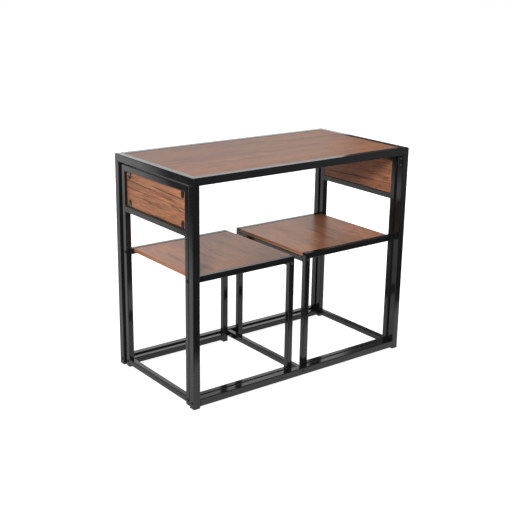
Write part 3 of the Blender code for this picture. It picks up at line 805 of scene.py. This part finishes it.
def chair_frame(chair):
    """The matrix from a chair's own frame to the world."""
    low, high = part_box(chair + "_back_frame")
    if low.x < 0:
        return Matrix.Translation((low.x, 0, 0))
    return Matrix.Translation((high.x, 0, 0)) @ Matrix.Rotation(math.pi, 4, "Z")


def middle_height(name):
    """The height of a CAD node's middle."""
    low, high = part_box(name)
    return (low.z + high.z) / 2


def chair_sizes(chair):
    """A chair's sizes in its own frame, from the boxes of its CAD nodes."""
    back_low, back_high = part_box(chair + "_back_frame")
    panel_low, panel_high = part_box(chair + "_backrest_panel")
    seat_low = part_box(chair + "_seat_board")[0]
    rail_low, rail_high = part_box(chair + "_seat_front_rail")
    tube = back_high.x - back_low.x
    rear = max(abs(back_low.x), abs(back_high.x))
    return {
        "tube": tube,
        "half": back_high.y,
        "inner": back_high.y - tube,
        "panel_rear": tube - (panel_high.x - panel_low.x),
        "panel_top": panel_high.z + BOARD_CLEARANCE,
        "panel_bottom": panel_low.z - BOARD_CLEARANCE,
        "seat_bottom": seat_low.z,
        "depth": rear - min(abs(rail_low.x), abs(rail_high.x)),
        "seat_rail_bottom": middle_height(chair + "_seat_bolt_left") - tube / 2,
        "low_rail_top": middle_height(chair + "_lower_bolt_left") + tube / 2,
    }


def add_chair_screws(chair, head, material):
    """The screws of one chair's backrest panel and seat."""
    size = chair_sizes(chair)
    to_world = chair_frame(chair)
    x = size["panel_rear"] - TAB_GAP - TAB_THICKNESS
    seats = []
    for y in (size["inner"] - PANEL_TAB_INSET, PANEL_TAB_INSET - size["inner"]):
        seats.append((x, y, size["panel_top"] - TAB_REACH))
        seats.append((x, y, size["panel_bottom"] + TAB_REACH))
    name = chair + "_panel_screws"
    add_screws(name, head, seats, Vector((-1, 0, 0)), to_world, material, chair)
    z = size["seat_bottom"] - TAB_GAP - TAB_THICKNESS
    seats = []
    for share in SEAT_TAB_SHARES:
        for side in (-1, 1):
            seats.append((share * size["depth"], side * (size["inner"] - TAB_REACH), z))
    name = chair + "_seat_screws"
    add_screws(name, head, seats, Vector((0, 0, -1)), to_world, material, chair)


def add_chair_beads(chair, material):
    """The weld beads of one chair: its frames' inner corners and the roots of its tabs."""
    size = chair_sizes(chair)
    tube, inner, half = size["tube"], size["inner"], size["half"]
    tab_x = size["panel_rear"] - TAB_GAP - TAB_THICKNESS
    tab_z = size["seat_bottom"] - TAB_GAP - TAB_THICKNESS
    leg_x = size["depth"] - tube - BEAD_SET
    bm = bmesh.new()
    # Each corner's height, the side of it that is open, up or down, and the bead's depth in x
    corners = (
        (size["panel_top"], -1, tab_x),
        (size["panel_bottom"], 1, tab_x),
        (size["panel_bottom"] - tube, -1, tube),
        (size["low_rail_top"], 1, tube),
    )
    for side in (-1, 1):
        y = side * (inner - BEAD_SET)
        for z, into, depth in corners:
            height = z + into * BEAD_SET
            bead(bm, (BEAD_END, y, height), (depth - BEAD_END, y, height), BEAD_RADIUS)
        for z, into in ((size["seat_rail_bottom"], -1), (size["low_rail_top"], 1)):
            height = z + into * BEAD_SET
            start = (leg_x, side * (inner + BEAD_END), height)
            bead(bm, start, (leg_x, side * (half - BEAD_END), height), BEAD_RADIUS)
        for z in (size["panel_top"], size["panel_bottom"]):
            tab_bead(bm, tab_x, side * (inner - PANEL_TAB_INSET), z, Vector((0, 1, 0)))
        for share in SEAT_TAB_SHARES:
            tab_bead(bm, share * size["depth"], side * inner, tab_z, Vector((1, 0, 0)))
    bmesh.ops.transform(bm, matrix=chair_frame(chair), verts=bm.verts)
    add_piece(chair + "_weld_beads", bm, material, chair)


def add_table_hardware(head, paint, fastener):
    """The screws under the table's top and the weld beads inside its top frame."""
    frame_low, frame_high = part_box("table_top_frame")
    board_low, board_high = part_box("table_top_board")
    length = frame_high.x - frame_low.x
    inner_x = board_high.x + BOARD_CLEARANCE
    inner_y = board_high.y + BOARD_CLEARANCE
    z = board_low.z - TAB_GAP - TAB_THICKNESS
    bm = bmesh.new()
    seats = []
    for share in TOP_TAB_SHARES:
        for side in (-1, 1):
            seats.append((share * length, side * (inner_y - TAB_REACH), z))
            tab_bead(bm, share * length, side * inner_y, z, Vector((1, 0, 0)))
    level = Matrix.Identity(4)
    add_screws("table_top_screws", head, seats, Vector((0, 0, -1)), level, fastener, "table")
    rim_bottom = frame_high.z - (frame_high.y - inner_y)
    for side_x in (-1, 1):
        for side_y in (-1, 1):
            x, y = side_x * (inner_x - BEAD_SET), side_y * (inner_y - BEAD_SET)
            start = (x, y, rim_bottom + BEAD_END)
            bead(bm, start, (x, y, board_low.z - BEAD_END), BEAD_RADIUS)
    add_piece("table_weld_beads", bm, paint, "table")


def make_camera():
    """The photograph's camera."""
    data = bpy.data.cameras.new("camera")
    data.sensor_width = SENSOR_MILLIMETRES
    data.lens = FOCAL_PIXELS * SENSOR_MILLIMETRES / PHOTO_SIDE
    data.clip_start = CAMERA_NEAREST
    data.clip_end = CAMERA_FARTHEST
    item = put("camera", data)
    flat = math.cos(CAMERA_ELEVATION)
    ahead_x = math.sin(CAMERA_AZIMUTH) * flat
    ahead_y = math.cos(CAMERA_AZIMUTH) * flat
    forward = Vector((ahead_x, ahead_y, -math.sin(CAMERA_ELEVATION)))
    level_right = forward.cross(Vector((0, 0, 1))).normalized()
    level_up = level_right.cross(forward)
    right = level_right * math.cos(CAMERA_ROLL) + level_up * math.sin(CAMERA_ROLL)
    up = level_up * math.cos(CAMERA_ROLL) - level_right * math.sin(CAMERA_ROLL)
    turn = Matrix((right, up, -forward)).transposed()
    item.matrix_world = Matrix.Translation(CAMERA_PLACE) @ turn.to_4x4()
    bpy.context.scene.camera = item


def add_lamp(name, place, side, power, seen_in_gloss=True):
    """A square soft box that faces the object and that the camera doesn't see."""
    data = bpy.data.lights.new(name, "AREA")
    data.shape = "SQUARE"
    data.size = side
    data.energy = power
    item = put(name, data)
    item.location = place
    item.rotation_euler = (LOOK_AT - place).to_track_quat("-Z", "Y").to_euler()
    item.visible_camera = False
    item.visible_glossy = seen_in_gloss


def plane(name, corners, material):
    """A flat stage piece from its four corners."""
    mesh = bpy.data.meshes.new(name)
    mesh.from_pydata(corners, [], [(0, 1, 2, 3)])
    mesh.materials.append(material)
    item = put(name, mesh)
    return item


def floor_strength(tree, x, y):
    """How the floor glows in gloss: the sweep's bright part, dimmed beside the model as a painted shadow,
    and the dim room around it.
    """
    left_near, left_far = SWEEP_LEFT_NEAR[::-1], SWEEP_LEFT_FAR[::-1]
    from_left = sums(tree, "SUBTRACT", x, slanted(tree, y, left_near, left_far))
    soft = SWEEP_SOFTNESS
    sides = product(tree, past(tree, from_left, 0.0, soft), before(tree, x, SWEEP_RIGHT, soft))
    lit = product(tree, sides, past(tree, y, SWEEP_FRONT, soft))
    low, high = CAD_BOX
    away = largest(
        tree,
        sums(tree, "LESS_THAN", y, low[Y]),
        spread(tree, x, low[X], low[X] - PAINTED_SHADE_REACH_LEFT),
        spread(tree, x, high[X], high[X] + PAINTED_SHADE_REACH_RIGHT),
        spread(tree, y, high[Y], high[Y] + PAINTED_SHADE_REACH_BEHIND),
    )
    # Painted shadow: the glow is dimmed next to the model's box, but not in front of it
    painted_floor_shade = spread(tree, away, 0.0, 1.0, FLOOR_GLOW_IN_PAINTED_SHADE / FLOOR_GLOW, 1.0)
    glow = product(tree, painted_floor_shade, spread(tree, y, *FAR_SPAN, FLOOR_GLOW, FLOOR_GLOW_FAR))
    dim = spread(tree, x, *FLOOR_LIT_SPAN, ROOM_DARK, FLOOR_LIT)
    return largest(tree, product(tree, lit, glow), dim)


def floor_material():
    """Pale floor: white to the camera but for the shadow, and a white sweep to glossy surfaces."""
    material, tree, out = shader_graph("studio_floor")
    rays = node(tree, "LightPath").outputs
    matte = node(tree, "BsdfDiffuse", {"Color": (FLOOR_TONE, FLOOR_TONE, FLOOR_TONE, 1)})
    shown = node(tree, "BsdfDiffuse", {"Color": (FLOOR_SHADE, FLOOR_SHADE, FLOOR_SHADE, 1)})
    white = node(tree, "Emission", {"Strength": FLOOR_WHITE})
    pale = node(tree, "AddShader", None, {0: shown.outputs[0], 1: white.outputs[0]})
    links = {0: rays["Is Camera Ray"], 1: matte.outputs[0], 2: pale.outputs[0]}
    seen = node(tree, "MixShader", None, links)
    parts = split(tree, node(tree, "TexCoord").outputs["Object"])
    sweep = node(tree, "Emission", None, {"Strength": floor_strength(tree, parts[X], parts[Y])})
    links = {0: rays["Is Glossy Ray"], 1: seen.outputs[0], 2: sweep.outputs[0]}
    final = node(tree, "MixShader", None, links)
    tree.links.new(final.outputs[0], out.inputs[0])
    return material


def wall_material():
    """The lit back of the sweep, the lit strip along its top edge, and the dim wall around them."""
    material, tree, out = shader_graph("studio_wall")
    parts = split(tree, node(tree, "TexCoord").outputs["Object"])
    x, z = parts[X], parts[Z]
    soft = SWEEP_SOFTNESS / 2
    over = sums(tree, "SUBTRACT", z, slanted(tree, x, SWEEP_TOP_LEFT, SWEEP_TOP_RIGHT))
    lit = product(tree, before(tree, over, 0.0, soft), before(tree, x, SWEEP_RIGHT, soft))
    (low, low_glow), (high, high_glow) = WALL_GLOW_LOW, WALL_GLOW_HIGH
    sweep = product(tree, lit, spread(tree, z, low, high, low_glow, high_glow))
    from_z, to_z = STRIP_SPAN
    strip = product(tree, past(tree, z, from_z, soft), before(tree, z, to_z, soft))
    strip = product(tree, strip, before(tree, x, STRIP_RIGHT, soft))
    (left, left_glow), (right, right_glow) = STRIP_GLOW_LEFT, STRIP_GLOW_RIGHT
    strip = product(tree, strip, spread(tree, x, left, right, left_glow, right_glow))
    glow = node(tree, "Emission", None, {"Strength": largest(tree, sweep, strip, ROOM_LIT)})
    tree.links.new(glow.outputs[0], out.inputs[0])
    return material


def make_world():
    """White to the camera, an even fill for diffuse light, and a dim room in reflections."""
    world = bpy.data.worlds.new("studio")
    world.use_nodes = True
    bpy.context.scene.world = world
    tree = world.node_tree
    tree.nodes.clear()
    out = tree.nodes.new("ShaderNodeOutputWorld")
    rays = node(tree, "LightPath").outputs
    white = (1, 1, 1, 1)
    fill = node(tree, "Background", {"Color": white, "Strength": WORLD_FILL})
    direction = split(tree, node(tree, "TexCoord").outputs["Generated"])
    dim = spread(tree, direction[X], *ROOM_SPAN, ROOM_DARK, ROOM_LIT)
    room = node(tree, "Background", {"Color": white}, {"Strength": dim})
    bright = node(tree, "Background", {"Color": white, "Strength": 1.0})
    shown = fill
    for ray, light in (
        ("Is Glossy Ray", room),
        ("Is Camera Ray", bright),
        ("Is Transmission Ray", bright),
    ):
        links = {0: rays[ray], 1: shown.outputs[0], 2: light.outputs[0]}
        shown = node(tree, "MixShader", None, links)
    tree.links.new(shown.outputs[0], out.inputs[0])


def make_studio():
    """Floor, sweep, lamps and world."""
    half = FLOOR_SIDE / 2
    z = -FLOOR_DROP
    corners = [(-half, -half, z), (half, -half, z), (half, half, z), (-half, half, z)]
    plane("studio_floor", corners, floor_material())
    left, back = SWEEP_LEFT_FAR
    corners = [
        (left, back, z),
        (WALL_RIGHT, back, z),
        (WALL_RIGHT, back, WALL_TOP),
        (left, back, WALL_TOP),
    ]
    wall = plane("studio_wall", corners, wall_material())
    wall.visible_camera = False
    wall.visible_diffuse = False
    wall.visible_shadow = False
    add_lamp("key", KEY_PLACE, KEY_SIDE, KEY_POWER)
    add_lamp("fill", FILL_PLACE, FILL_SIDE, FILL_POWER, seen_in_gloss=False)
    make_world()
    bpy.context.scene.view_settings.view_transform = "Standard"


def main():
    """Camera and studio, then the finishes of the CAD nodes, then the extra pieces."""
    make_camera()
    make_studio()
    paint = paint_material()
    fastener = fastener_material()
    # Some fasteners' names hold a tube's name too, so the fasteners come after the tubes
    dress(paint, ("frame", "rail", "leg", "stretcher"))
    dress(fastener, ("bolt", "screw"))
    dress(plastic_material(), ("foot",))
    dress_boards()
    head = screw_head()
    for chair in CHAIRS:
        add_chair_screws(chair, head, fastener)
        add_chair_beads(chair, paint)
    add_table_hardware(head, paint, fastener)


main()
